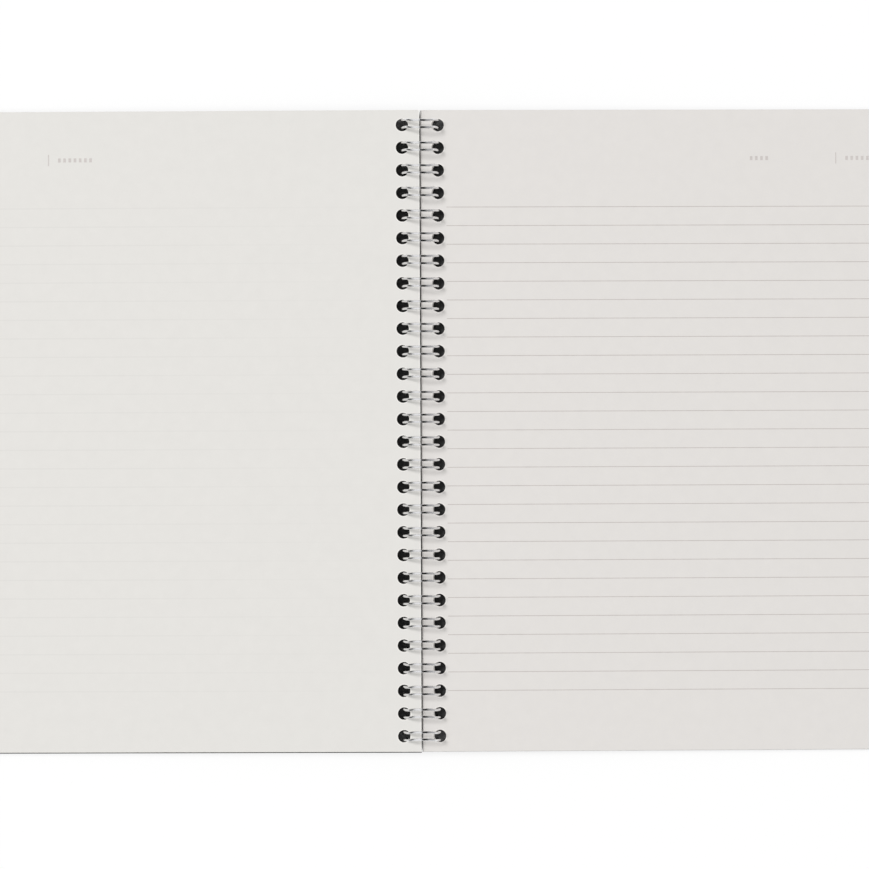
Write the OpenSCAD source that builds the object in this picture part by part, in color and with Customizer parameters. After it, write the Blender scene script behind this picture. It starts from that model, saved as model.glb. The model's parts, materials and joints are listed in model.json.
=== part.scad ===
// Open notebook on a twin-loop wire binding, lying flat and opened part way through.
// The spine runs along Y with the head of the pages at +Y, and X runs across both pages.
// Z is up and zero is the table, with the origin on the table below the middle of the spine.

/* [Leaves] */
// Width of a leaf from its spine edge to its fore edge
page_w = 190.5; // [120:0.5:260]
// Height of a leaf from head to tail
page_h = 240; // [140:0.5:330]
// Thickness of the leaves that are turned over to the left
left_stack = 2.75; // [1:0.05:4]
// Thickness of the leaves that still lie on the right
right_stack = 1.6; // [0.6:0.05:3]
// How far the leaves have slipped towards the tail on their wires
leaf_slip = 0.2; // [0:0.05:0.25]

/* [Covers] */
// Thickness of the card of each cover
cover_t = 0.7; // [0.4:0.05:1.5]
// How far the front cover reaches past the leaves at the tail
front_over = 0.6; // [0:0.05:2]
// How far the back cover reaches past the leaves at the tail
back_over = 0.25; // [0:0.05:2]

/* [Binding holes] */
// Distance from one hole to the next along the spine
loop_pitch = 8.4667; // [7:0.01:15]
// Least distance from the first and last hole to the ends of the leaf
end_margin = 5.5; // [5:0.1:20]
// How far the row of holes sits towards the head of the leaf
holes_up = 0.1; // [0:0.05:0.8]
// Room between the pair of wires and the side of its hole
hole_room = 0.55; // [0.4:0.05:1.2]
// Gap between the left and the right leaves over the spine
gutter = 0.5; // [0.2:0.05:3]

/* [Wire] */
// Diameter of the wire
wire_d = 0.9; // [0.6:0.05:1.2]
// Distance between the two wires that share a hole
twin_gap = 2.7; // [2:0.05:3.5]
// How much wider the rings are inside than the leaves and covers are thick
ring_room = 6.75; // [5:0.01:12]
// Bend radius of the wire where it runs on to the next hole
base_bend = 0.8; // [0.6:0.05:1]
// Length of plain wire past the last bend at both ends of the binding
wire_end = 1.2; // [0.4:0.1:1.6]
// How far below the covers the wire runs on from loop to loop
seam_drop = 1.3; // [0.2:0.1:1.5]

/* [Print] */
// Distance from one ruled line to the next
line_pitch = 6.96; // [5:0.01:12]
// Width of a ruled line
line_w = 0.22; // [0.1:0.01:0.6]
// Distance from the head of the page to the first ruled line
head_margin = 36.3; // [26:0.1:60]
// Least distance from the last ruled line to the tail of the page
tail_margin = 22.5; // [5:0.1:50]
// Distance from the holes to the start of the ruled lines
line_inset = 0.8; // [0.2:0.1:20]
// Distance from the head of the page to the middle of the heading marks
heading_down = 18.2; // [8:0.1:22]
// Distance from the fore edge to the heading marks on the left page
left_heading_edge = 19.2; // [5:0.1:40]
// Distance from the fore edge to the heading marks on the right page
right_heading_edge = 18.4; // [5:0.1:40]
// Height of a heading mark
mark_h = 1.5; // [0.5:0.1:3]
// Width of a heading mark
mark_w = 0.95; // [0.4:0.05:1.4]
// Distance from one heading mark to the next
mark_pitch = 1.95; // [1.6:0.05:4]
// Distance from the end of the first group of heading marks to the upright bar
bar_before = 25.5; // [4:0.5:40]
// Distance from the upright bar to the second group of heading marks
bar_after = 3.6; // [1:0.1:10]
// Height of the upright bar
bar_h = 4.2; // [2:0.1:8]
// Width of the upright bar
bar_w = 0.35; // [0.1:0.05:1]

/* [Hidden] */

// Clearance between flat layers that lie on each other
layer_gap = 0.05;
// How far the face of the thicker stack lies below the level of the middle of the rings
face_drop = 0.1;
// Clearance beside the wire where it passes the lower face of a cover
hole_play = 0.1;
// Clearance between the closed end of a loop and the bends beside it
seam_play = 0.11;
// Height of the printed ink
ink_t = 0.04;
// Marks in the first and in the second heading group
first_marks = 4;
second_marks = 7;
// How much thicker the wire is in its tight bends, and how far the others run into them
bend_swell = 1.02;
seat = 0.05;
// Steps that a full turn is drawn with: the section of the wire, its bends, its rings
section_steps = 16;
bend_steps = 32;
ring_steps = 96;

wire_r = wire_d / 2;
twin = twin_gap / 2;
hole_r = twin + wire_r + hole_room;

// Depths of the layers below the middle of the rings, measured square to each half. Both
// covers lie at one depth, so the thinner stack has its face further down.
leaf_bottom = face_drop + max(left_stack, right_stack);
left_face = leaf_bottom - left_stack;
right_face = leaf_bottom - right_stack;
cover_top = leaf_bottom + layer_gap;
cover_bottom = cover_top + cover_t;

// The rings are sized for the closed book and stand on the table
ring_in = (left_stack + right_stack + 2 * cover_t + ring_room) / 2;
ring_r = ring_in + wire_r;
ring_out = ring_in + wire_d;
centre_z = ring_out;

// The holes sit where the rings clear the side of the hole at the lower face of the covers
deep_u = sqrt(pow(ring_r, 2) - pow(cover_bottom, 2));
deep_half = wire_r * ring_r / deep_u;
hole_u = deep_u + sqrt(pow(hole_r - deep_half - hole_play, 2) - pow(twin, 2));
spine_u = gutter / 2;
fore_u = spine_u + page_w;

// Number of loops, and the place of each along the spine from the head to the tail
loops = floor((page_h - 2 * end_margin) / loop_pitch) + 1;
function loop_y(k) = holes_up + ((loops - 1) / 2 - k) * loop_pitch;

// Leaves and covers along the spine: the covers reach past the slipped leaves
leaf_tail = -page_h / 2 - leaf_slip;
front_tail = leaf_tail - front_over;
back_tail = leaf_tail - back_over;
cover_head = page_h / 2;
page_head = page_h / 2 - leaf_slip;

// Each half leans down about the rings until the fore edge of its cover meets the table
slope = asin(centre_z / norm([fore_u, cover_bottom])) - atan(cover_bottom / fore_u);

// Seam of the wire, as angles round the ring from the back cover's own level: the run to
// the next loop lies below the cover, and the closed end of each loop stops short of it
seam_depth = cover_bottom + seam_drop + wire_r;
base_angle = atan(base_bend / ring_r) - asin(seam_depth / norm([ring_r, base_bend]));
base_reach = twin + base_bend;
tip_drop = sqrt(pow(base_reach + wire_d + seam_play, 2) - pow(base_reach, 2));
tip_angle = base_angle - 2 * asin(tip_drop / (2 * ring_r));

// Ruled lines
line_u = hole_u + hole_r + line_inset;
lines = floor((page_h - head_margin - tail_margin) / line_pitch) + 1;
function marks_w(n) = (n - 1) * mark_pitch + mark_w;
heading_w = marks_w(first_marks) + bar_before + bar_after + marks_w(second_marks);

// Puts what is drawn flat, with the middle of the rings as its zero, on a sloping half
module right_half() translate([0, 0, centre_z]) rotate([0, slope, 0]) children();
module left_half() mirror([1, 0, 0]) right_half() children();

// One punched layer, from its upper to its lower depth and from its tail to its head. Its
// holes line up with the wires, less the distance that the layer has slipped.
module layer(top, bottom, tail, head, slip) {
    translate([0, 0, -bottom])
        linear_extrude(bottom - top)
            difference() {
                translate([spine_u, tail]) square([page_w, head - tail]);
                for (k = [0 : loops - 1])
                    translate([hole_u, loop_y(k) - slip]) circle(r = hole_r, $fn = 48);
            }
}

module front_cover() {
    color("#202022")
        left_half() layer(cover_top, cover_bottom, front_tail, cover_head, 0);
}

module back_cover() {
    color("#202022")
        right_half() layer(cover_top, cover_bottom, back_tail, cover_head, 0);
}

module left_pages() {
    color("#e9e6e1")
        left_half() layer(left_face, leaf_bottom, leaf_tail, page_head, leaf_slip);
}

module right_pages() {
    color("#e9e6e1")
        right_half() layer(right_face, leaf_bottom, leaf_tail, page_head, leaf_slip);
}

// A stretch of wire in the X-Y plane, bent to a radius from +X round through an angle. It
// runs on past both its ends by a length, to seat in the stretches that it meets.
module bend(radius, angle, r, past, steps) {
    more = past / radius * 180 / PI;
    rotate([0, 0, -more])
        rotate_extrude(angle = angle + 2 * more, $fn = steps)
            translate([radius, 0]) circle(r = r, $fn = section_steps);
}

// A tight bend: bending swells the wire by a hair, so the other stretches end inside it
module tight_bend(radius, angle) bend(radius, angle, wire_r * bend_swell, 0, bend_steps);

// A place on the ring: X along the spine, Y on round the ring and Z out from its middle
module on_ring(angle)
    rotate([0, -angle, 0]) translate([ring_r, 0, 0]) rotate([90, 0, 90]) children();

// One loop: two long bends round the ring, joined at their closed end
module loop() {
    sweep = 360 + tip_angle - base_angle;
    for (side = [-1, 1])
        translate([0, side * twin, 0])
            rotate([90, 0, 0])
                rotate([0, 0, base_angle]) bend(ring_r, sweep, wire_r, seat, ring_steps);
    on_ring(tip_angle) tight_bend(twin, 180);
}

// The bend out of a loop towards the head, onto the run to its neighbour
module base_out() translate([base_reach, 0, 0]) rotate([0, 0, 180]) tight_bend(base_bend, 90);

// The straight run along the spine that follows that bend
module base_run(length, past)
    translate([base_reach - seat, -base_bend, 0])
        rotate([0, 90, 0]) cylinder(r = wire_r, h = length + seat + past, $fn = section_steps);

// One wire from end to end: every loop runs on to the next below the back cover
module binding_wire() {
    color("#c9cacc")
        right_half()
            for (k = [0 : loops - 1])
                translate([0, loop_y(k), 0]) {
                    loop();
                    on_ring(base_angle) {
                        base_out();
                        mirror([1, 0, 0]) base_out();
                        if (k == 0) base_run(wire_end, 0);
                        else base_run(loop_pitch - 2 * base_reach, seat);
                        if (k == loops - 1) mirror([1, 0, 0]) base_run(wire_end, 0);
                    }
                }
}

// A printed bar on the page face, from its lower left corner
module ink(x, y, w, h) translate([x, y, 0]) cube([w, h, ink_t]);

module marks(x, n)
    for (i = [0 : n - 1]) ink(x + i * mark_pitch, -mark_h / 2, mark_w, mark_h);

// Heading marks in reading order: a short group, an upright bar and a longer group
module heading(x) {
    bar_x = x + marks_w(first_marks) + bar_before;
    translate([0, page_head - heading_down, 0]) {
        marks(x, first_marks);
        ink(bar_x - bar_w / 2, -bar_h / 2, bar_w, bar_h);
        marks(bar_x + bar_after, second_marks);
    }
}

module left_print() {
    color("#8f8c88")
        translate([0, 0, centre_z]) rotate([0, -slope, 0])
            translate([0, 0, -left_face]) heading(left_heading_edge - fore_u);
}

module right_print() {
    color("#8f8c88")
        right_half() translate([0, 0, -right_face]) {
            heading(fore_u - right_heading_edge - heading_w);
            for (i = [0 : lines - 1])
                ink(line_u, page_head - head_margin - i * line_pitch - line_w / 2,
                    fore_u - line_u, line_w);
        }
}

front_cover();
back_cover();
left_pages();
right_pages();
binding_wire();
left_print();
right_print();
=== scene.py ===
# %% [markdown]
# # An open notebook on a twin-loop wire
#
# The notebook lies open on a white table and is seen from straight above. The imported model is
# the frame: it holds every piece at its real size, and what is made here is built round it.
# Work goes in millimetres, because paper and wire are measured that way, and each mesh is
# turned into metres once, when it is made.

# %% Load the frame and keep its box
import json
import math

import bpy
import numpy as np
from mathutils import Matrix, Vector


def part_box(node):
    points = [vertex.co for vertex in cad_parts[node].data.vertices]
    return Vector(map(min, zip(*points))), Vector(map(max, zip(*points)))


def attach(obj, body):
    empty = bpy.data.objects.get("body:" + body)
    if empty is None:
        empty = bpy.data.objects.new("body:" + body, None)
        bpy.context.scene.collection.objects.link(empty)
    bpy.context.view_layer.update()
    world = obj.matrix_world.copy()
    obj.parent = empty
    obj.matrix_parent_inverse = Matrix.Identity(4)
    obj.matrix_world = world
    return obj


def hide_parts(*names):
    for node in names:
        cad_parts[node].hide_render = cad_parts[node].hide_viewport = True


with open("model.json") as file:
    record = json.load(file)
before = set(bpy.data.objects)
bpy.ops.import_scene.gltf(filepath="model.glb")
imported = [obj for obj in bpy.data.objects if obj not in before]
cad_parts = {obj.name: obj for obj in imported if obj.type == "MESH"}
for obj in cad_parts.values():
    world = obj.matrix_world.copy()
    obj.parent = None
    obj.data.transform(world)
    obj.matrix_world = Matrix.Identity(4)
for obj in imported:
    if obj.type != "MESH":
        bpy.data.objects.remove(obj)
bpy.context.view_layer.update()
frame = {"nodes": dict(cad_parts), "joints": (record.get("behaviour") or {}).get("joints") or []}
MM = 0.001


def node_box(name):
    """Lowest and highest corner of a node, in millimetres."""
    return [np.array(corner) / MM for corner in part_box(name)]


print("nodes:", ", ".join(sorted(frame["nodes"])))

# %% [markdown]
# ## Measures that the pieces share
#
# Both halves hang on the middle of the rings, so every layer is placed by its depth below
# that line. A half slopes down from the rings until its cover meets the table. The height of
# the rings is the joint's own place, and the ends of the leaves are the ends of their node,
# so that the new pieces and the frame can't drift apart. Both covers lie equally deep, so the
# thinner stack on the right has its face further down. A name that ends in U is a distance
# from the spine, measured along the half.

# %% Measures
RING_Z = frame["joints"][0]["pos_m"][2] / MM
LEAF_TAIL, LEAF_HEAD = (corner[1] for corner in node_box("left_pages"))
COVER_T = 0.7
LEFT_STACK, RIGHT_STACK = 2.75, 1.6
LEFT_FACE, RIGHT_FACE = 0.1, 1.25
LAYER_GAP = 0.05
COVER_BOTTOM = LEFT_FACE + LEFT_STACK + LAYER_GAP + COVER_T
SPINE_U = 0.25
PAGE_W = 190.5
FORE_U = SPINE_U + PAGE_W
LOOPS = 28
LOOP_PITCH = 8.4667
HOLES_UP = 0.1
FIRST_LOOP_Y = HOLES_UP + (LOOPS - 1) / 2 * LOOP_PITCH
LEAF_SLIP = 0.2
HOLE_U, HOLE_R = 6.711, 2.35

REACH = math.hypot(FORE_U, COVER_BOTTOM)
SLOPE = math.asin(RING_Z / REACH) - math.atan(COVER_BOTTOM / FORE_U)
print("slope of each half in degrees:", round(math.degrees(SLOPE), 3))


# %% [markdown]
# ## From a flat half to its place
#
# A leaf is easiest to think of while it lies flat: a distance from the spine, a distance
# along the spine and a depth. One function carries such flat points to where the half lies.

# %% Place flat points
def on_half(side, u, y, depth):
    """Points of a half in millimetres: the flat point (u, -depth) turned down by the slope
    about the middle of the rings, and mirrored to the left where side is -1."""
    x = u * math.cos(SLOPE) - depth * math.sin(SLOPE)
    z = RING_Z - u * math.sin(SLOPE) - depth * math.cos(SLOPE)
    return np.stack(np.broadcast_arrays(side * x, y, z), axis=-1)


def new_mesh(name, points, faces, smooth=False):
    """An object with its place in its mesh, from points in millimetres."""
    mesh = bpy.data.meshes.new(name)
    mesh.from_pydata((np.asarray(points) * MM).tolist(), [], faces)
    mesh.polygons.foreach_set("use_smooth", np.full(len(mesh.polygons), smooth))
    mesh.update()
    obj = bpy.data.objects.new(name, mesh)
    bpy.context.scene.collection.objects.link(obj)
    return obj


# %% [markdown]
# ## A punched leaf as a grid
#
# A plain grid can't have round holes, and a boolean cut leaves long thin triangles. Here the
# strip beside the spine is divided into 28 cells, one for each hole. In each cell the grid is
# taken out, and a ring of quads runs from the square rim of the cell to the circle. Every
# leaf shares this flat pattern, so it is worked out once for the leaf on show and once, with
# fewer steps, for the leaves below it.

# %% The flat pattern of a punched leaf
CELL_U = 2 * HOLE_U - SPINE_U


def punched_pattern(steps, outer_steps, hole_r):
    """Flat points (u, y), quads and rims of one leaf. Rows and columns are evenly spaced in
    each cell, and circle point n of a hole stands at -135 degrees + 360 n / count, where
    point n of the cell's square rim stands too."""
    cell_head = FIRST_LOOP_Y + LOOP_PITCH / 2 - LEAF_SLIP
    cell_rows = cell_head - np.arange(LOOPS * steps + 1) * LOOP_PITCH / steps
    rows = np.concatenate([[LEAF_TAIL], cell_rows[::-1], [LEAF_HEAD]])
    strip = np.linspace(SPINE_U, CELL_U, steps + 1)
    outer = CELL_U + (FORE_U - CELL_U) * np.linspace(0, 1, outer_steps + 1)[1:]
    columns = np.concatenate([strip, outer])
    grid_u, grid_y = np.meshgrid(columns, rows)
    index = np.arange(grid_u.size).reshape(grid_u.shape)
    quads = np.stack([index[:-1, :-1], index[:-1, 1:], index[1:, 1:], index[1:, :-1]], -1)
    kept = np.ones(quads.shape[:2], bool)
    kept[1:-1, :steps] = False
    square = np.arange(LOOPS)[:, None, None] * steps + 1 + np.arange(steps + 1)[None, :, None]
    cells = index[square, np.arange(steps + 1)[None, None, :]]
    rim = np.concatenate(
        [cells[:, 0, :-1], cells[:, :-1, -1], cells[:, -1, :0:-1], cells[:, :0:-1, 0]], 1
    )
    count = rim.shape[1]
    turn = np.radians(-135 + 360 * np.arange(count) / count)
    centre = (FIRST_LOOP_Y - LEAF_SLIP - np.arange(LOOPS) * LOOP_PITCH)[::-1]
    hole_u = HOLE_U + hole_r * np.cos(turn)[None, :] + np.zeros((LOOPS, 1))
    hole_y = centre[:, None] + hole_r * np.sin(turn)[None, :]
    hole = grid_u.size + np.arange(LOOPS * count).reshape(LOOPS, count)
    ring = np.stack([rim, np.roll(rim, -1, 1), np.roll(hole, -1, 1), hole], -1)
    flat = np.stack(
        [
            np.concatenate([grid_u.ravel(), hole_u.ravel()]),
            np.concatenate([grid_y.ravel(), hole_y.ravel()]),
        ],
        -1,
    )
    outline = np.concatenate([index[0, :-1], index[:-1, -1], index[-1, :0:-1], index[:0:-1, 0]])
    rims = [np.stack([outline, np.roll(outline, -1)], -1)]
    rims.append(np.stack([np.roll(hole, -1, 1), hole], -1).reshape(-1, 2))
    quads = np.concatenate([quads[kept], ring.reshape(-1, 4)])
    used = np.unique(quads)
    renumber = np.zeros(len(flat), int)
    renumber[used] = np.arange(len(used))
    return flat[used], renumber[quads], renumber[np.concatenate(rims)]


HOLE_WEAR = 0.1
fine_leaf = punched_pattern(steps=12, outer_steps=12, hole_r=HOLE_R)
plain_leaf = punched_pattern(steps=6, outer_steps=3, hole_r=HOLE_R + HOLE_WEAR)
print("points of the top leaf and of a lower leaf:", len(fine_leaf[0]), len(plain_leaf[0]))


# %% [markdown]
# ## A stack of leaves
#
# Real leaves never lie quite square: each has slipped a little on the wire. The shifts are
# small and random, and seeded, so that the stack is the same each time. Down to the seventh
# leaf they also draw back from the gap, as the curve of the rings pushes them, so a thin edge
# of paper shows inside the right-hand holes. The holes of the lower leaves are a hair wider
# than those of the top leaf, because the rings wear at them, so their walls stay in its shade.

# %% Build the stacks
LEFT_LEAVES, RIGHT_LEAVES = 25, 15
LEFT_LEAN, RIGHT_LEAN = 0.1, 0.5
LEANING_LEAVES = 6
PAPER_SHARE = 0.94
TOP_REACH = 0.04
SIDE_SLIP = 0.06


def leaf_shell(pattern, side, top, thick, slip, lean):
    """One leaf as a closed shell: the flat pattern at its upper and its lower depth, joined by
    walls along every rim. The lean draws the leaf away from the gap and fades to nothing at
    the fore edge."""
    flat, quads, rims = pattern
    u = flat[:, 0] + slip[0] + lean * (1 - flat[:, 0] / FORE_U)
    y = flat[:, 1] + slip[1]
    upper = on_half(side, u, y, top)
    lower = on_half(side, u, y, top + thick)
    walls = np.stack([rims[:, 1], rims[:, 0], rims[:, 0] + len(flat), rims[:, 1] + len(flat)], -1)
    faces = np.concatenate([quads, quads[:, ::-1] + len(flat), walls])
    if side < 0:
        faces = faces[:, ::-1]
    return np.concatenate([upper, lower]), faces


def build_stack(name, leaves, side, face, stack, lean, seed):
    """A stack of leaves in one mesh, each with a small slip of its own and its own tone. lean
    is how much further from the spine the lowest leaf lies than the top one, which reaches a
    hair over the gap."""
    rng = np.random.default_rng(seed)
    pitch = stack / leaves
    points, faces, tones, start = [], [], [], 0
    for i in range(leaves):
        pattern = fine_leaf if i == 0 else plain_leaf
        slip = rng.uniform(-SIDE_SLIP, SIDE_SLIP, 2) * (i > 0)
        drawn_back = lean * min(i, LEANING_LEAVES) / LEANING_LEAVES - TOP_REACH
        leaf_points, leaf_faces = leaf_shell(
            pattern, side, face + i * pitch, pitch * PAPER_SHARE, slip, drawn_back
        )
        points.append(leaf_points)
        faces.append(leaf_faces + start)
        tones.append(np.full(len(leaf_points), rng.uniform(0, 1)))
        start += len(leaf_points)
    obj = new_mesh(name, np.concatenate(points), np.concatenate(faces).tolist())
    tone = obj.data.attributes.new("leaf_tone", "FLOAT", "POINT")
    tone.data.foreach_set("value", np.concatenate(tones).astype(np.float32))
    print(name, "has", leaves, "leaves and", 2 * len(obj.data.polygons), "triangles")
    return obj


left_leaves = build_stack(
    "turned_leaves", LEFT_LEAVES, -1, LEFT_FACE, LEFT_STACK, LEFT_LEAN, seed=3
)
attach(left_leaves, "front_half")
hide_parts("left_pages")
right_leaves = build_stack(
    "waiting_leaves", RIGHT_LEAVES, 1, RIGHT_FACE, RIGHT_STACK, RIGHT_LEAN, seed=5
)
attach(right_leaves, "right_leaves")
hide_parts("right_pages")

# %% [markdown]
# ## One wire from head to tail
#
# A twin-loop binding is a single wire, bent to and fro into long fingers and then curled
# until the closed tip of each finger meets its root. Its middle line runs on a cylinder, so
# it is written as three numbers: the angle round the ring, a step along the ring's tangent
# and a step along the spine. The cylinder's own normal is square to the wire all the way,
# which gives a tube with no twist. The tops of the rings lean a little towards the middle of
# the book, where they are free of the leaves.

# %% The wire's middle line
WIRE_R, TWIN, RING_R = 0.45, 1.35, 6.7
BASE_BEND, WIRE_END = 0.8, 1.2
BASE_ANGLE, TIP_ANGLE = -45.646, 294.45
WIRE_SIDES = 12
BEND_STEPS, RING_STEPS, TIP_STEPS = 6, 68, 6
HEAD_LEAN, MIDDLE_LEAN = 0.05, 0.004
LEAN_FROM = 0.55
STREAK_SHRINK = 0.04
BASE_REACH = TWIN + BASE_BEND


def finger():
    """Middle line of one loop from its head side to its tail side, as columns of angle in
    degrees, tangent step and spine step: a quarter bend, the long way round the ring, a half
    circle at the tip, and the same again mirrored."""
    quarter = np.radians(np.linspace(90, 180, BEND_STEPS + 1))
    root = np.stack(
        [
            np.full(BEND_STEPS + 1, BASE_ANGLE),
            -BASE_BEND * np.sin(quarter),
            BASE_REACH + BASE_BEND * np.cos(quarter),
        ],
        -1,
    )
    round_ring = np.linspace(BASE_ANGLE, TIP_ANGLE, RING_STEPS + 1)[1:]
    arc = np.stack([round_ring, np.zeros(RING_STEPS), np.full(RING_STEPS, TWIN)], -1)
    half = np.radians(np.linspace(0, 90, TIP_STEPS + 1))[1:]
    tip = np.stack([np.full(TIP_STEPS, TIP_ANGLE), TWIN * np.sin(half), TWIN * np.cos(half)], -1)
    way = np.concatenate([root, arc, tip])
    back = (way * [1, 1, -1])[-2::-1]
    return np.concatenate([way, back])


def wire_line():
    """Middle line of the whole wire and the ring's normal along it, in millimetres. Near the
    top of the rings it leans by the smooth step of the height: a little to the head, and
    towards the middle of the book in proportion to the distance from there. The lean starts
    above the highest leaf or cover at any limit, so the wire stays clear in its holes."""
    loop = finger()
    places = FIRST_LOOP_Y - np.arange(LOOPS) * LOOP_PITCH
    angle = np.tile(loop[:, 0], LOOPS)
    tangent = np.tile(loop[:, 1], LOOPS)
    spine = np.tile(loop[:, 2], LOOPS) + np.repeat(places, len(loop))
    angle = np.concatenate([angle[:1], angle, angle[-1:]])
    tangent = np.concatenate([tangent[:1], tangent, tangent[-1:]])
    spine = np.concatenate([spine[:1] + WIRE_END, spine, spine[-1:] - WIRE_END])
    turn = np.radians(angle)
    normal = np.stack([np.cos(turn), np.zeros(len(turn)), np.sin(turn)], -1)
    forward = np.stack([-np.sin(turn), np.zeros(len(turn)), np.cos(turn)], -1)
    height = np.clip((np.sin(turn) - LEAN_FROM) / (1 - LEAN_FROM), 0, 1)
    line = RING_R * normal + tangent[:, None] * forward
    line[:, 1] = spine + (HEAD_LEAN - MIDDLE_LEAN * spine) * height**2 * (3 - 2 * height)
    return line, normal


def tube(line, normal, radius, sides):
    """A tube round a line: at each point, a circle in the plane of the given normal and the
    line's tangent crossed with it. Returns points, faces with both ends closed, and the
    place of each point if the line were pulled straight: its length so far, and the two
    coordinates of the circle."""
    tangent = np.gradient(line, axis=0)
    tangent /= np.linalg.norm(tangent, axis=1, keepdims=True)
    binormal = np.cross(tangent, normal)
    turn = 2 * np.pi * np.arange(sides) / sides
    circle = (
        np.cos(turn)[None, :, None] * normal[:, None, :]
        + np.sin(turn)[None, :, None] * binormal[:, None, :]
    )
    points = (line[:, None, :] + radius * circle).reshape(-1, 3)
    index = np.arange(len(points)).reshape(len(line), sides)
    beside = np.roll(index, -1, 1)
    walls = np.stack([index[:-1], beside[:-1], beside[1:], index[1:]], -1).reshape(-1, 4)
    faces = walls.tolist() + [index[0][::-1].tolist(), index[-1].tolist()]
    length = np.concatenate([[0], np.cumsum(np.linalg.norm(np.diff(line, axis=0), axis=1))])
    straight = np.stack(
        [
            np.repeat(length, sides),
            np.tile(radius * np.cos(turn), len(line)),
            np.tile(radius * np.sin(turn), len(line)),
        ],
        -1,
    )
    return points, faces, straight


line, normal = wire_line()
points, faces, straight = tube(line, normal, WIRE_R, WIRE_SIDES)
cos_s, sin_s = math.cos(SLOPE), math.sin(SLOPE)
lean_down = np.array([[cos_s, 0, -sin_s], [0, 1, 0], [sin_s, 0, cos_s]])
wire = new_mesh("twin_loop_wire", points @ lean_down + [0, 0, RING_Z], faces, smooth=True)
streak_place = wire.data.attributes.new("streak_place", "FLOAT_VECTOR", "POINT")
streak_place.data.foreach_set("vector", (straight * [STREAK_SHRINK, 1, 1] * MM).ravel())
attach(wire, "back_half")
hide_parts("binding_wire")
# Soft light goes round a wire this thin, so only the lamp's light is shaded by it
wire.visible_diffuse = False
print("length of the wire in metres:", round(straight[-1, 0] * MM, 2))

# %% [markdown]
# ## Shared grain
#
# Paper and card both show the fibres they are pressed from. One node group makes that grain
# from a place on the piece: a coarse cloudiness, a fine fibre and the height that the light
# catches. Each material sets its own scale and contrast.

# %% Helpers for nodes
def add(tree, kind, **values):
    """A new node. Names of values that are sockets set the socket, others the node itself."""
    node = tree.nodes.new(kind)
    for key, value in values.items():
        if key in node.inputs:
            node.inputs[key].default_value = value
        else:
            setattr(node, key, value)
    return node


def math_node(tree, operation, first, second=None, clamp=False):
    """The output of a math node whose inputs are sockets or numbers."""
    node = add(tree, "ShaderNodeMath", operation=operation, use_clamp=clamp)
    for slot, value in zip(node.inputs, (first, second)):
        if isinstance(value, (int, float)):
            slot.default_value = value
        elif value is not None:
            tree.links.new(value, slot)
    return node.outputs[0]


def axes(tree, place):
    """The X, Y and Z outputs of a place."""
    split = add(tree, "ShaderNodeSeparateXYZ")
    tree.links.new(place, split.inputs[0])
    return split.outputs


# %% The grain group
CLOUD_SCALE = 0.08


def grain_group():
    """Shade = 1 + contrast times (cloud + fibre - 1), and Height = the fibre by itself. The
    cloud is the same kind of noise at a small share of the fibre's scale."""
    group = bpy.data.node_groups.new("pressed_fibre", "ShaderNodeTree")
    for name, kind in (("Place", "NodeSocketVector"), ("Scale", "NodeSocketFloat"),
                       ("Contrast", "NodeSocketFloat")):
        group.interface.new_socket(name, in_out="INPUT", socket_type=kind)
    for name in ("Shade", "Height"):
        group.interface.new_socket(name, in_out="OUTPUT", socket_type="NodeSocketFloat")
    source = group.nodes.new("NodeGroupInput")
    target = group.nodes.new("NodeGroupOutput")
    cloud = add(group, "ShaderNodeTexNoise", Detail=3.0, Roughness=0.6)
    fibre = add(group, "ShaderNodeTexNoise", Detail=5.0, Roughness=0.7, Distortion=1.2)
    group.links.new(source.outputs["Place"], cloud.inputs["Vector"])
    group.links.new(source.outputs["Place"], fibre.inputs["Vector"])
    coarse = math_node(group, "MULTIPLY", source.outputs["Scale"], CLOUD_SCALE)
    group.links.new(coarse, cloud.inputs["Scale"])
    group.links.new(source.outputs["Scale"], fibre.inputs["Scale"])
    both = math_node(group, "ADD", cloud.outputs["Fac"], fibre.outputs["Fac"])
    centred = math_node(group, "SUBTRACT", both, 1.0)
    shade = math_node(group, "MULTIPLY", centred, source.outputs["Contrast"])
    group.links.new(math_node(group, "ADD", shade, 1.0), target.inputs["Shade"])
    group.links.new(fibre.outputs["Fac"], target.inputs["Height"])
    return group


GRAIN = grain_group()


def material(name, base, roughness, specular=0.5, metallic=0.0):
    """A material, its tree and its principled shader."""
    made = bpy.data.materials.new(name)
    made.use_nodes = True
    tree = made.node_tree
    shader = tree.nodes["Principled BSDF"]
    shader.inputs["Base Color"].default_value = (*base, 1)
    shader.inputs["Roughness"].default_value = roughness
    shader.inputs["Specular IOR Level"].default_value = specular
    shader.inputs["Metallic"].default_value = metallic
    return made, tree, shader


def own_place(tree):
    """The coordinates of the piece itself, which stay on it wherever it moves."""
    return add(tree, "ShaderNodeTexCoord").outputs["Object"]


def grain(tree, place, scale, contrast):
    """The grain group placed in a material."""
    node = add(tree, "ShaderNodeGroup", node_tree=GRAIN)
    tree.links.new(place, node.inputs["Place"])
    node.inputs["Scale"].default_value = scale
    node.inputs["Contrast"].default_value = contrast
    return node


def bump(tree, shader, height, strength, distance):
    """Feeds a height to the shader's normal."""
    node = add(tree, "ShaderNodeBump", Strength=strength, Distance=distance)
    tree.links.new(height, node.inputs["Height"])
    tree.links.new(node.outputs["Normal"], shader.inputs["Normal"])


def mixed(tree, first, second, share):
    """A colour that goes from the first to the second as the share goes from 0 to 1."""
    node = add(tree, "ShaderNodeMix", data_type="RGBA")
    node.inputs["A"].default_value = (*first, 1)
    node.inputs["B"].default_value = (*second, 1)
    tree.links.new(share, node.inputs["Factor"])
    return node.outputs["Result"]


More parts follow.
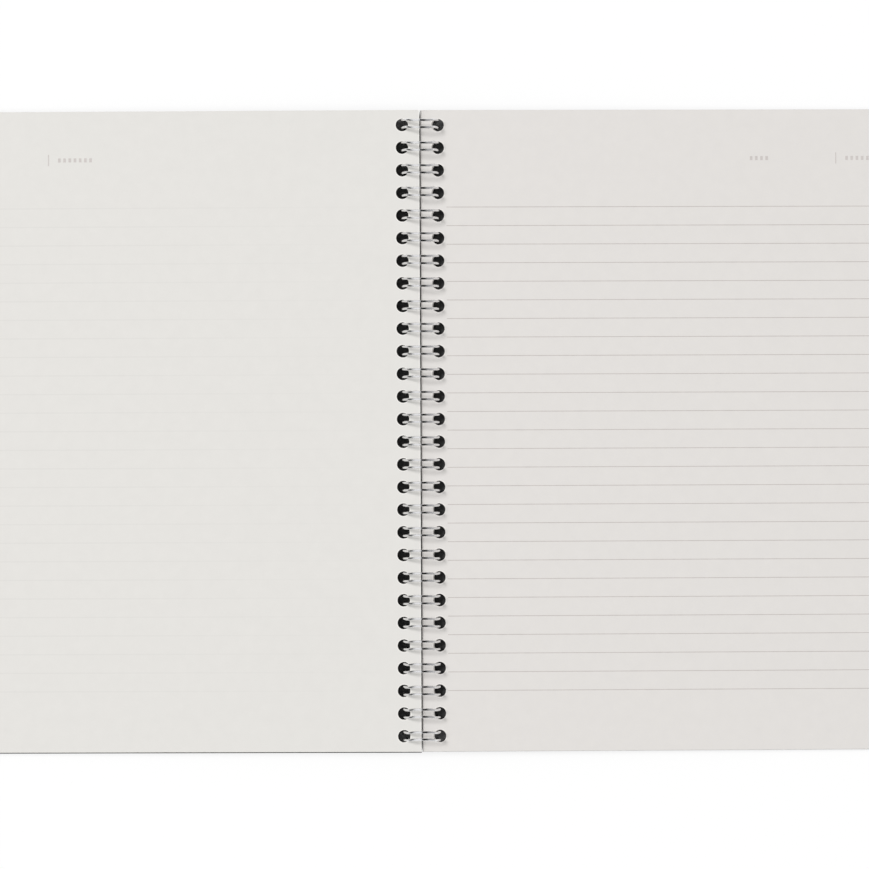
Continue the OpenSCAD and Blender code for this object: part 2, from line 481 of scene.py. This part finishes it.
def shaded(tree, shader, colour, shade):
    """Feeds a colour, given as three numbers or as a socket, times a shade to the shader."""
    node = add(tree, "ShaderNodeVectorMath", operation="SCALE")
    if isinstance(colour, tuple):
        node.inputs[0].default_value = colour
    else:
        tree.links.new(colour, node.inputs[0])
    tree.links.new(shade, node.inputs["Scale"])
    tree.links.new(node.outputs[0], shader.inputs["Base Color"])


def fading(tree, distance, reach):
    """1 where the distance is 0, and in a straight line down to 0 where it is the reach."""
    share = math_node(tree, "DIVIDE", distance, reach)
    return math_node(tree, "SUBTRACT", 1.0, share, clamp=True)


# %% [markdown]
# ## Paper
#
# The leaves are an uncoated warm white. The turned leaves are drawn a shade brighter and a
# little cooler than the waiting ones, and that brightness is painted light, for the stronger
# light on the left. From a step away they look even, and close up they show a soft cloudiness
# and fine fibres. Each leaf has a slightly different tone, which shows at the edges of the
# stack. Round each hole, and along the spine edge of the turned leaves, a thin rim is drawn a
# shade paler: a painted highlight. The ruling on the back of the turned leaf shows through as
# the faintest of lines, and fades out towards the spine.

# %% Make the paper
# Painted light: the turned leaves' paper is a shade brighter than the waiting leaves', for the
# stronger light on the left; it is also a little cooler
TURNED_PAPER = (0.787, 0.772, 0.742)
WAITING_PAPER = (0.780, 0.755, 0.730)
LINE_PITCH = 6.96
HEAD_MARGIN = 36.3
FIRST_LINE_Y = LEAF_HEAD - HEAD_MARGIN
LINES = 27
GHOST_WIDTH = 0.5
GHOST_FULL_X = 120.0
GHOST_DEPTH = 0.035
# A painted highlight: a rim this wide round the holes is drawn this much paler
RIM_WIDTH = 0.55
RIM_PAINTED_HIGHLIGHT = 0.14
PAPER_GRAIN, PAPER_CONTRAST = 2600.0, 0.05
LEAF_TONES = 0.05


def ruling_mask(tree, place):
    """1 on the rulings and 0 between them, fading to 0 at the spine. The distance to the
    nearest ruling comes from the way down in steps of the pitch, folded to half a step, and
    the mask is limited to the ruled part."""
    x, y, _ = axes(tree, place)
    down = math_node(tree, "SUBTRACT", FIRST_LINE_Y * MM, y)
    out = math_node(tree, "ABSOLUTE", x)
    fade = math_node(tree, "DIVIDE", out, GHOST_FULL_X * MM, clamp=True)
    steps = math_node(tree, "DIVIDE", down, LINE_PITCH * MM)
    offset = math_node(tree, "PINGPONG", steps, 0.5)
    near = math_node(tree, "LESS_THAN", offset, GHOST_WIDTH / LINE_PITCH / 2)
    below = math_node(tree, "GREATER_THAN", steps, -0.5)
    above = math_node(tree, "LESS_THAN", steps, LINES - 0.5)
    ruled = math_node(tree, "MULTIPLY", below, above)
    return math_node(tree, "MULTIPLY", math_node(tree, "MULTIPLY", near, fade), ruled)


def painted_highlight_rim(tree, place, spine_too):
    """Where the painted highlight goes: 1 at the sides of the holes, and if asked at the spine
    edge, and 0 a rim's width away.
    The distance to the nearest hole is the root of the squares of the distances from the row
    of holes and, folded to one pitch, from the nearest hole's middle."""
    x, y, _ = axes(tree, place)
    out = math_node(tree, "ABSOLUTE", x)
    across = math_node(tree, "SUBTRACT", out, HOLE_U * MM)
    down = math_node(tree, "SUBTRACT", (FIRST_LOOP_Y - LEAF_SLIP) * MM, y)
    along = math_node(tree, "PINGPONG", down, LOOP_PITCH / 2 * MM)
    squares = math_node(tree, "ADD", math_node(tree, "MULTIPLY", across, across),
                        math_node(tree, "MULTIPLY", along, along))
    nearest = math_node(tree, "SUBTRACT", math_node(tree, "SQRT", squares), HOLE_R * MM)
    if spine_too:
        from_spine = math_node(tree, "SUBTRACT", out, SPINE_U * MM)
        nearest = math_node(tree, "MINIMUM", nearest, from_spine)
    return fading(tree, nearest, RIM_WIDTH * MM)


def paper(name, base, ghost, spine_highlight):
    """Uncoated paper; ghost is how much the ruling of the other side darkens it, and the last
    flag says whether its spine edge gets the painted highlight as well as the holes' rims."""
    made, tree, shader = material(name, base, roughness=0.9, specular=0.2)
    place = own_place(tree)
    fibres = grain(tree, place, PAPER_GRAIN, PAPER_CONTRAST)
    tone = add(tree, "ShaderNodeAttribute", attribute_name="leaf_tone").outputs["Fac"]
    darker = math_node(tree, "MULTIPLY", tone, LEAF_TONES)
    shade = math_node(tree, "MULTIPLY", fibres.outputs["Shade"],
                      math_node(tree, "SUBTRACT", 1.0, darker))
    if ghost:
        faint = math_node(tree, "MULTIPLY", ruling_mask(tree, place), ghost)
        shade = math_node(tree, "MULTIPLY", shade, math_node(tree, "SUBTRACT", 1.0, faint))
    # Painted highlight: the rims of the holes, and on the turned leaves the spine edge, are drawn
    # paler
    sheen = math_node(tree, "MULTIPLY", painted_highlight_rim(tree, place, spine_highlight), RIM_PAINTED_HIGHLIGHT)
    shade = math_node(tree, "MULTIPLY", shade, math_node(tree, "ADD", sheen, 1.0))
    shaded(tree, shader, base, shade)
    bump(tree, shader, fibres.outputs["Height"], strength=0.25, distance=0.03 * MM)
    return made


turned_paper = paper("turned_paper", TURNED_PAPER, ghost=GHOST_DEPTH, spine_highlight=True)
left_leaves.data.materials.append(turned_paper)
waiting_paper = paper("waiting_paper", WAITING_PAPER, ghost=0.0, spine_highlight=False)
right_leaves.data.materials.append(waiting_paper)

# %% [markdown]
# ## Ink
#
# Thin grey ink sinks into uncoated paper and breaks up along the fibres, so its tone follows
# the same grain, with more contrast. The heading marks are broader than the lines and printed
# a little paler. The ink nodes of the frame are kept as they are.

# %% Make the ink
RULE_INK = (0.545, 0.505, 0.485)
HEADING_INK = (0.615, 0.575, 0.555)
INK_CONTRAST = 0.25


def give(node_name, made):
    """Puts a material on a node of the frame."""
    mesh = frame["nodes"][node_name].data
    mesh.materials.clear()
    mesh.materials.append(made)


def ink(name):
    """Matte grey ink with the paper's grain showing through it. Above the ruled part it is the
    paler ink of the headings."""
    made, tree, shader = material(name, RULE_INK, roughness=0.85, specular=0.2)
    place = own_place(tree)
    fibres = grain(tree, place, PAPER_GRAIN, INK_CONTRAST)
    _, y, _ = axes(tree, place)
    heading = math_node(tree, "GREATER_THAN", y, (FIRST_LINE_Y + LINE_PITCH) * MM)
    colour = mixed(tree, RULE_INK, HEADING_INK, heading)
    shaded(tree, shader, colour, fibres.outputs["Shade"])
    return made


grey_ink = ink("grey_ink")
give("left_print", grey_ink)
give("right_print", grey_ink)

# %% [markdown]
# ## Cover card
#
# The covers are black card with a fine pressed texture and an uneven sheen. Card wears first
# along its outer edges, where the black coating rubs off and greyer fibre shows. So the wear
# is a mask that grows towards the fore edge, the head and the tail of the cover, and it is
# broken up by the grain.

# %% Make the cover card
CARD = (0.009, 0.009, 0.010)
WORN_CARD = (0.09, 0.088, 0.085)
WEAR_REACH = 0.7
CARD_ROUGHNESS = 0.5
CARD_GRAIN, CARD_CONTRAST = 1500.0, 0.6


def edge_wear(tree, place, node_name):
    """A mask that is 1 on the outer edges of the cover and falls to 0 a short way in."""
    low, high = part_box(node_name)
    x, y, _ = axes(tree, place)
    far = max(low[0], high[0], key=abs)
    from_fore = math_node(tree, "ABSOLUTE", math_node(tree, "SUBTRACT", x, float(far)))
    from_tail = math_node(tree, "SUBTRACT", y, float(low[1]))
    from_head = math_node(tree, "SUBTRACT", float(high[1]), y)
    from_end = math_node(tree, "MINIMUM", from_tail, from_head)
    return fading(tree, math_node(tree, "MINIMUM", from_fore, from_end), WEAR_REACH * MM)


def card(name, node_name):
    """Black pressed card with worn edges. Its sheen is as uneven as its fibres."""
    made, tree, shader = material(name, CARD, CARD_ROUGHNESS, specular=0.15)
    place = own_place(tree)
    fibres = grain(tree, place, CARD_GRAIN, CARD_CONTRAST)
    rough = math_node(tree, "MULTIPLY", fibres.outputs["Shade"], CARD_ROUGHNESS)
    tree.links.new(rough, shader.inputs["Roughness"])
    wear = math_node(tree, "MULTIPLY", edge_wear(tree, place, node_name), fibres.outputs["Height"])
    tree.links.new(mixed(tree, CARD, WORN_CARD, wear), shader.inputs["Base Color"])
    bump(tree, shader, fibres.outputs["Height"], strength=0.7, distance=0.08 * MM)
    return made


for cover in ("front_cover", "back_cover"):
    give(cover, card(cover + "_card", cover))

# %% [markdown]
# ## Silver wire
#
# The wire is bright drawn steel. Drawing leaves hair lines along its length, which spread
# the reflections across it. So the roughness follows a noise on the place that each point
# has on the straight wire, which is stored on the mesh when the tube is made. The length in
# it is shrunk, and that stretches the noise into streaks.

# %% Make the wire's metal
SILVER = (0.8, 0.8, 0.81)
STREAK_SCALE = 5000.0
LEAST_ROUGHNESS, STREAK_ROUGHNESS = 0.08, 0.16


def drawn_wire(name):
    """Bright metal whose roughness changes slowly along the wire and quickly across it."""
    made, tree, shader = material(name, SILVER, roughness=0.16, metallic=1.0)
    straight_wire = add(tree, "ShaderNodeAttribute", attribute_name="streak_place")
    streaks = add(tree, "ShaderNodeTexNoise", Scale=STREAK_SCALE, Detail=2.0)
    tree.links.new(straight_wire.outputs["Vector"], streaks.inputs["Vector"])
    rough = math_node(tree, "MULTIPLY", streaks.outputs["Fac"], STREAK_ROUGHNESS)
    rough = math_node(tree, "ADD", rough, LEAST_ROUGHNESS)
    tree.links.new(rough, shader.inputs["Roughness"])
    bump(tree, shader, streaks.outputs["Fac"], strength=0.15, distance=0.01 * MM)
    return made


wire.data.materials.append(drawn_wire("silver_wire"))

# %% [markdown]
# ## Table, light and camera
#
# The table and the room are white. Rays from the camera and reflections see that white, and
# everything else is lit by a plain level of soft light, so that colours come out as they are
# written. Deep under the book the table's glow is darkened, a painted shadow. Two things stand
# on the left, as in a room with a window: the soft light is stronger from there, and one large
# soft lamp high up on that side gives the wires their shadows. Bright wire shows a room as dark
# and pale bands, so reflections see stripes in place of the even white.

# %% The table
TABLE_SHADOW = 0.12
TABLE_GREY = (0.7, 0.7, 0.7, 1)
SHADE_REACH = 30.0
SKY_DARK, SKY_WHITE = 0.3, 0.55


def seen(tree):
    """1 for rays from the camera, in reflections and through glass."""
    path = add(tree, "ShaderNodeLightPath")
    glossy = math_node(tree, "ADD", path.outputs["Is Camera Ray"], path.outputs["Is Glossy Ray"])
    return math_node(tree, "ADD", glossy, path.outputs["Is Transmission Ray"], clamp=True)


def table_material():
    """White to the camera but for a painted shadow deep below the book, and a plain pale surface
    to the light that it throws back. The share of open sky above a place, between the dark and
    the white level, is how white the place glows, which paints that shadow, and a small share of
    real shadow is added."""
    made = bpy.data.materials.new("white_table")
    made.use_nodes = True
    tree = made.node_tree
    tree.nodes.remove(tree.nodes["Principled BSDF"])
    # Painted shadow: the glow goes dark where the book hides most of the sky above
    open_sky = add(tree, "ShaderNodeAmbientOcclusion", Distance=SHADE_REACH * MM, samples=8)
    painted_shadow_ramp = add(tree, "ShaderNodeMapRange", interpolation_type="SMOOTHSTEP")
    painted_shadow_ramp.inputs["From Min"].default_value = SKY_DARK
    painted_shadow_ramp.inputs["From Max"].default_value = SKY_WHITE
    tree.links.new(open_sky.outputs["AO"], painted_shadow_ramp.inputs["Value"])
    glow = add(tree, "ShaderNodeEmission")
    tree.links.new(painted_shadow_ramp.outputs["Result"], glow.inputs["Color"])
    lit = add(tree, "ShaderNodeBsdfDiffuse", Color=(1, 1, 1, 1))
    shown = add(tree, "ShaderNodeMixShader", Fac=TABLE_SHADOW)
    tree.links.new(glow.outputs[0], shown.inputs[1])
    tree.links.new(lit.outputs[0], shown.inputs[2])
    plain = add(tree, "ShaderNodeBsdfDiffuse", Color=TABLE_GREY)
    final = add(tree, "ShaderNodeMixShader")
    tree.links.new(seen(tree), final.inputs["Fac"])
    tree.links.new(plain.outputs[0], final.inputs[1])
    tree.links.new(shown.outputs[0], final.inputs[2])
    tree.links.new(final.outputs[0], tree.nodes["Material Output"].inputs["Surface"])
    return made


TABLE_SIDE = 6000.0
corners = np.array([[-1, -1], [1, -1], [1, 1], [-1, 1]]) * TABLE_SIDE / 2
table = new_mesh("table", np.column_stack([corners, np.zeros(4)]), [[0, 1, 2, 3]])
table.data.materials.append(table_material())

# %% The room and the lamp
AMBIENT = 0.62
LAMP_LEVEL = 0.42
ROOM_LEAN = 0.9
ROOM_STRIPES = [
    (-90, 0.03), (-32, 0.03), (-25, 0.65), (-18, 0.93), (-2.5, 0.95), (0.5, 0.02),
    (13.5, 0.02), (22, 0.38), (40, 0.45), (50, 0.65), (90, 0.65),
]
LAMP_SIDE = 1.5
LAMP_PLACE = np.array([-3.5, 1.4, 5.4])


def room():
    """An even white room for the camera, a striped one for reflections, and a plain level of
    light, brighter from the left, for all else. The stripes go by the arc tangent of X over
    1 + Z of the direction, which is the slope in degrees of a wire where it shows that part
    of the room to someone who looks straight down. A hair more than 1 keeps the sum above 0."""
    world = bpy.data.worlds.new("white_room")
    bpy.context.scene.world = world
    world.use_nodes = True
    world.cycles.sampling_method = "NONE"
    tree = world.node_tree
    back = tree.nodes["Background"]
    x, _, z = axes(tree, add(tree, "ShaderNodeTexCoord").outputs["Generated"])
    stripes = add(tree, "ShaderNodeFloatCurve")
    curve = stripes.mapping.curves[0]
    # The curve runs from 0 to 1, which stands for slopes from -90 to 90 degrees
    for i, (degrees, level) in enumerate(ROOM_STRIPES):
        place = degrees / 180 + 0.5
        if i in (0, len(ROOM_STRIPES) - 1):
            curve.points[-1 if i else 0].location = (place, level)
        else:
            curve.points.new(place, level)
    for point in curve.points:
        point.handle_type = "VECTOR"
    stripes.mapping.update()
    height = math_node(tree, "ADD", z, 1.001)
    slope = math_node(tree, "DIVIDE", x, height)
    across = math_node(tree, "DIVIDE", math_node(tree, "ARCTANGENT", slope), math.pi)
    tree.links.new(math_node(tree, "ADD", across, 0.5, clamp=True), stripes.inputs["Value"])
    path = add(tree, "ShaderNodeLightPath")
    shade = add(tree, "ShaderNodeMix", data_type="FLOAT")
    lean = math_node(tree, "MULTIPLY", x, -ROOM_LEAN * AMBIENT)
    tree.links.new(math_node(tree, "ADD", lean, AMBIENT), shade.inputs["A"])
    tree.links.new(path.outputs["Is Glossy Ray"], shade.inputs["Factor"])
    tree.links.new(stripes.outputs[0], shade.inputs["B"])
    level = add(tree, "ShaderNodeMix", data_type="FLOAT")
    camera_ray = math_node(tree, "ADD", path.outputs["Is Camera Ray"],
                           path.outputs["Is Transmission Ray"], clamp=True)
    tree.links.new(camera_ray, level.inputs["Factor"])
    tree.links.new(shade.outputs["Result"], level.inputs["A"])
    level.inputs["B"].default_value = 1.0
    tree.links.new(level.outputs["Result"], back.inputs["Strength"])
    back.inputs["Color"].default_value = (1, 1, 1, 1)


def soft_lamp(name, place, side, level):
    """A square soft lamp aimed at the book. It adds the level to a white page that lies flat
    below it: energy = level times pi squared times distance squared over the cosine."""
    data = bpy.data.lights.new(name, "AREA")
    data.shape = "SQUARE"
    data.size = side
    distance = float(np.linalg.norm(place))
    data.energy = level * math.pi**2 * distance**2 / (place[2] / distance)
    lamp = bpy.data.objects.new(name, data)
    lamp.location = place
    lamp.rotation_euler = Vector(place).to_track_quat("Z", "Y").to_euler()
    # The lamp is left out of reflections, where it would be a glaring square
    lamp.visible_glossy = False
    bpy.context.scene.collection.objects.link(lamp)


room()
soft_lamp("window_lamp", LAMP_PLACE, LAMP_SIDE, LAMP_LEVEL)

# %% [markdown]
# The camera stands high above the spine and looks almost straight down through a long lens.
# Its place, its small turns and its lens were found by fitting the holes and the edges of
# the pages in the picture, whose frame is square.

# %% The camera
CAMERA_PLACE = np.array([3.060, -7.900, 1200.0])
CAMERA_TILT, CAMERA_SWING, CAMERA_ROLL = 0.3, -0.0956, -0.2243
CAMERA_LENS = 132.185


def overhead_camera():
    """The camera, turned by its roll, its swing to the side and its tilt, in that order."""
    data = bpy.data.cameras.new("camera")
    data.sensor_width = 36.0
    data.lens = CAMERA_LENS
    data.clip_start, data.clip_end = 0.05, 20.0
    camera = bpy.data.objects.new("camera", data)
    bpy.context.scene.collection.objects.link(camera)
    turn = (
        Matrix.Rotation(math.radians(CAMERA_TILT), 4, "X")
        @ Matrix.Rotation(math.radians(CAMERA_SWING), 4, "Y")
        @ Matrix.Rotation(math.radians(CAMERA_ROLL), 4, "Z")
    )
    camera.matrix_world = Matrix.Translation(Vector(CAMERA_PLACE * MM)) @ turn
    bpy.context.scene.camera = camera


overhead_camera()
bpy.context.scene.view_settings.view_transform = "Standard"
